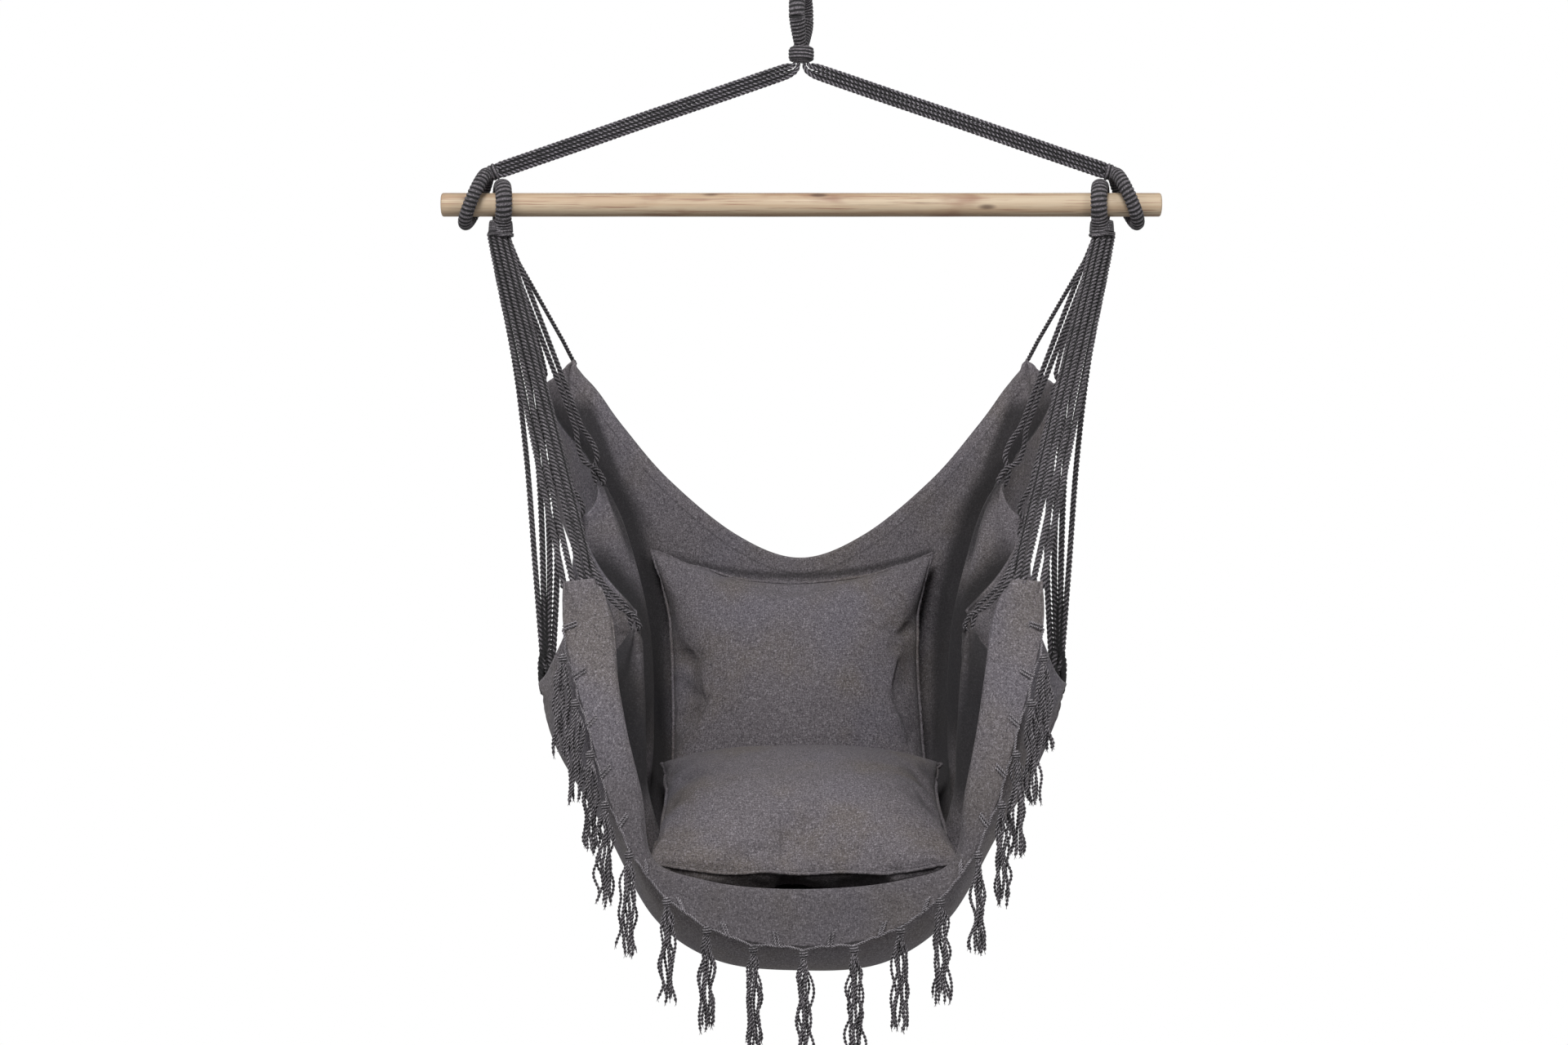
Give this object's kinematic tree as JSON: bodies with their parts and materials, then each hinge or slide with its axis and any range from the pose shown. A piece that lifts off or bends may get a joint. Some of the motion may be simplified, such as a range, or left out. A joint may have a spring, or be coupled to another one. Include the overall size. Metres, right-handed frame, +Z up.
{
  "type": "hammock chair",
  "caption": "Hanging hammock chair: canvas sling on rope fans under a wooden spreader bar, with seat and back cushions and a tasselled front edge.",
  "frame": {"origin": "the bearing point of the hanging eye: the inside of its top, where a hook carries the whole chair", "axes": "+Z up; the chair faces -Y; +X along the spreader bar, to the right of someone who looks at the front"},
  "size_m": [1, 0.6333, 1.4106],
  "materials": {
    "timber": "planed pale softwood, unvarnished, light brown streaks along the grain",
    "rope": "matt twisted cotton rope, charcoal grey with light flecks",
    "canvas": "matt heavy cotton canvas, charcoal grey, speckled weave",
    "cushion_cover": "matt cotton canvas like the sling, soft filling under it",
    "yarn": "matt loose yarn, charcoal grey, frayed ends"
  },
  "bodies": {
    "hanging_eye": {"hanging_eye_core": "rope", "hanging_eye_serving": "rope"},
    "whipping": {"hanging_whipping": "rope"},
    "hanger": {"spreader_bar": "timber", "outer_eye_core_left": "rope", "outer_eye_serving_left": "rope", "outer_eye_core_right": "rope", "outer_eye_serving_right": "rope", "hanger_rope_left_1": "rope", "hanger_rope_left_2": "rope", "hanger_rope_left_3": "rope", "hanger_rope_left_4": "rope", "hanger_rope_right_1": "rope", "hanger_rope_right_2": "rope", "hanger_rope_right_3": "rope", "hanger_rope_right_4": "rope"},
    "sling": {"sling_cloth": "canvas", "inner_eye_core_left": "rope", "inner_eye_serving_left": "rope", "inner_eye_core_right": "rope", "inner_eye_serving_right": "rope", "inner_whipping_left": "rope", "inner_whipping_right": "rope", "suspension_rope_left_1": "rope", "suspension_rope_left_2": "rope", "suspension_rope_left_3": "rope", "suspension_rope_left_4": "rope", "suspension_rope_left_5": "rope", "suspension_rope_left_6": "rope", "suspension_rope_left_7": "rope", "suspension_rope_left_8": "rope", "suspension_rope_right_1": "rope", "suspension_rope_right_2": "rope", "suspension_rope_right_3": "rope", "suspension_rope_right_4": "rope", "suspension_rope_right_5": "rope", "suspension_rope_right_6": "rope", "suspension_rope_right_7": "rope", "suspension_rope_right_8": "rope", "edge_lacing": "yarn", "tassel_1": "yarn", "tassel_2": "yarn", "tassel_3": "yarn", "tassel_4": "yarn", "tassel_5": "yarn", "tassel_6": "yarn", "tassel_7": "yarn", "tassel_8": "yarn", "tassel_9": "yarn", "tassel_10": "yarn", "tassel_11": "yarn", "tassel_12": "yarn", "tassel_13": "yarn", "tassel_14": "yarn", "tassel_15": "yarn", "tassel_16": "yarn", "tassel_17": "yarn"},
    "seat_cushion": {"seat_cushion": "cushion_cover"},
    "back_cushion": {"back_cushion": "cushion_cover"}
  },
  "joints": [
    {"name": "hanger_turn", "type": "hinge", "parent": "hanging_eye", "child": "whipping", "pos_m": [0, 0, -0.076], "axis": [0, 0, 1], "range_deg": [-90, 90]},
    {"name": "hanger_swing", "type": "hinge", "parent": "whipping", "child": "hanger", "pos_m": [0, 0, -0.107], "axis": [1, 0, 0], "range_deg": [-15, 15]},
    {"name": "sling_tilt", "type": "hinge", "parent": "hanger", "child": "sling", "pos_m": [0, 0, -0.285], "axis": [1, 0, 0], "range_deg": [-20, 20]},
    {"name": "seat_cushion_lift", "type": "slide", "parent": "sling", "child": "seat_cushion", "axis": [0, -0.0872, 0.9962], "range_m": [0, 0.35]},
    {"name": "back_cushion_lift", "type": "slide", "parent": "sling", "child": "back_cushion", "axis": [0, 0, 1], "range_m": [0, 0.3]}
  ]
}
